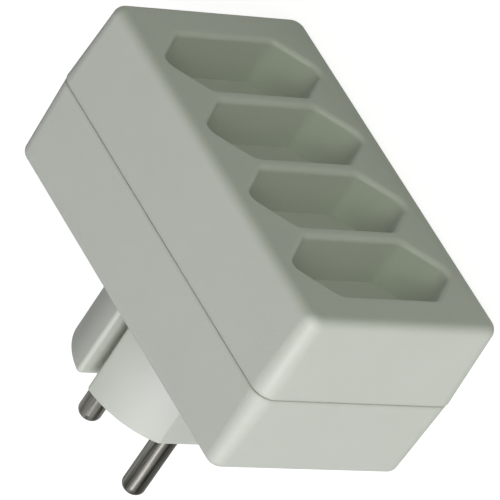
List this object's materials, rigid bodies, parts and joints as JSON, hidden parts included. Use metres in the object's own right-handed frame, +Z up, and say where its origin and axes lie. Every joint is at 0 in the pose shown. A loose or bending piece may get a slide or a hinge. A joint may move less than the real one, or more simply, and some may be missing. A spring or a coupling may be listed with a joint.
{
  "type": "multi socket adapter",
  "caption": "Plug-in socket adapter: a drafted two-shell box with a row of hexagonal wells for flat plugs in front and a round, slotted two-pin plug behind.",
  "frame": {"origin": "where the plug's axis crosses the box's rear face", "axes": "+X along the row of wells, +Y from the front face to the wall socket, +Z up as the adapter sits in a wall socket"},
  "size_m": [0.0834, 0.0755, 0.047],
  "materials": {
    "housing": "fine satin moulded surface",
    "pin": "bright nickel plating on turned brass",
    "bar": "stamped brass strip",
    "clip": "rolled spring bronze",
    "rivet": "headed brass",
    "screw": "zinc plated steel"
  },
  "bodies": {
    "root": {"front_housing": "housing", "rear_housing": "housing", "live_pin": "pin", "neutral_pin": "pin", "live_bar": "bar", "neutral_bar": "bar", "live_clip_1": "clip", "live_clip_2": "clip", "live_clip_3": "clip", "live_clip_4": "clip", "neutral_clip_1": "clip", "neutral_clip_2": "clip", "neutral_clip_3": "clip", "neutral_clip_4": "clip", "clip_rivets": "rivet", "housing_screws": "screw"}
  },
  "joints": []
}
